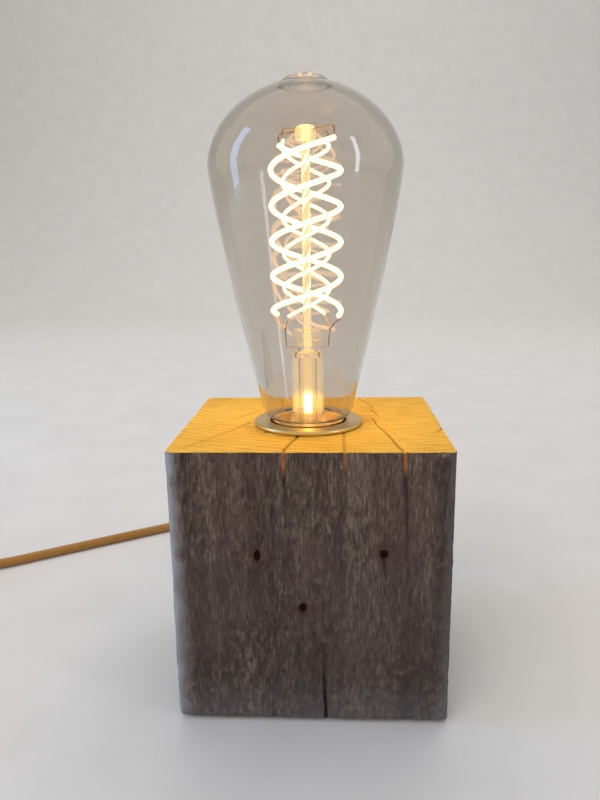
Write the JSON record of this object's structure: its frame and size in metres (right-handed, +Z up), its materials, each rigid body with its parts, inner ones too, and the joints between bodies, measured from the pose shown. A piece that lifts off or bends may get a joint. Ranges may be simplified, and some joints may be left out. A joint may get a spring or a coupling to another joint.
{
  "type": "bare bulb table lamp",
  "caption": "Table lamp made of a cube-like block of old timber with a clear pear-shaped filament lamp standing bare in its top, on a textile cord with a rocker switch.",
  "frame": {"origin": "table level, under the middle of the timber block", "axes": "+Z up along the lamp, +X to the right as seen from the front, the front of the block faces -Y"},
  "size_m": [0.3157, 0.203, 0.2101],
  "materials": {
    "reclaimed timber": "rough sawn and weathered",
    "felt": "felted",
    "satin nickel": "satin",
    "porcelain": "gloss",
    "brass": "satin",
    "steel": "zinc plated",
    "white plastic": "matt",
    "brown insulation": "smooth",
    "blue insulation": "smooth",
    "textile cord": "braided",
    "clear glass": "clear",
    "cap brass": "satin",
    "cement": "matt",
    "black glass": "gloss",
    "solder": "satin",
    "stem glass": "clear",
    "nickel wire": "satin",
    "circuit board": "smooth",
    "component epoxy": "smooth",
    "hook and loop tape": "woven",
    "black plastic": "fine texture",
    "rocker plastic": "smooth",
    "plated brass": "bright",
    "sleeve plastic": "smooth",
    "filament": "phosphor coated, lit"
  },
  "bodies": {
    "base": {"timber_block": "reclaimed timber", "felt_base": "felt", "trim_ring": "satin nickel", "holder_body": "porcelain", "screw_shell": "brass", "neutral_strip": "brass", "centre_contact": "brass", "holder_base": "porcelain", "line_terminal": "brass", "neutral_terminal": "brass", "terminal_screws": "steel", "holder_screws": "steel", "mounting_bracket": "steel", "bracket_screws": "steel", "threaded_nipple": "steel", "lock_nut": "steel", "cord_grip": "white plastic", "grip_screw": "steel", "core_line": "brown insulation", "core_neutral": "blue insulation", "cord_in_block": "textile cord", "cord_run": "textile cord", "cord_link": "textile cord", "cord_coil": "textile cord", "coil_tie": "hook and loop tape", "switch_lower": "black plastic", "switch_upper": "black plastic", "switch_contacts": "brass", "switch_wires": "brown insulation", "switch_screws": "steel", "plug_body": "black plastic", "plug_pins": "plated brass", "pin_sleeves": "sleeve plastic"},
    "lamp_contact": {"cap_contact": "solder"},
    "lamp": {"glass_envelope": "clear glass", "bulb_cap": "cap brass", "cap_cement": "cement", "cap_insulator": "black glass", "stem_tube": "stem glass", "exhaust_tube": "stem glass", "centre_rod": "stem glass", "lower_bead": "stem glass", "top_bead": "stem glass", "support_wires": "nickel wire", "lead_wires": "nickel wire", "filament_1": "filament", "filament_2": "filament", "filament_3": "filament", "filament_4": "filament", "driver_board": "circuit board", "driver_parts": "component epoxy", "supply_wires": "nickel wire"},
    "rocker": {"switch_rocker": "rocker plastic"}
  },
  "joints": [
    {"name": "lamp_lift", "type": "slide", "parent": "base", "child": "lamp_contact", "axis": [0, 0, 1], "range_m": [0, 0.01815]},
    {"name": "lamp_turn", "type": "hinge", "parent": "lamp_contact", "child": "lamp", "pos_m": [-0.0015, -0.003, 0.067], "axis": [0, 0, 1], "range_deg": [0, 1800]},
    {"name": "rocker_tip", "type": "hinge", "parent": "base", "child": "rocker", "pos_m": [-0.207, 0.0414, 0.014], "axis": [-0.503, 0.8643, 0], "range_deg": [-16, 0]}
  ],
  "couplings": [
    {"joint": "lamp_lift", "follows": "lamp_turn", "m_per_rad": 0.00057757}
  ]
}
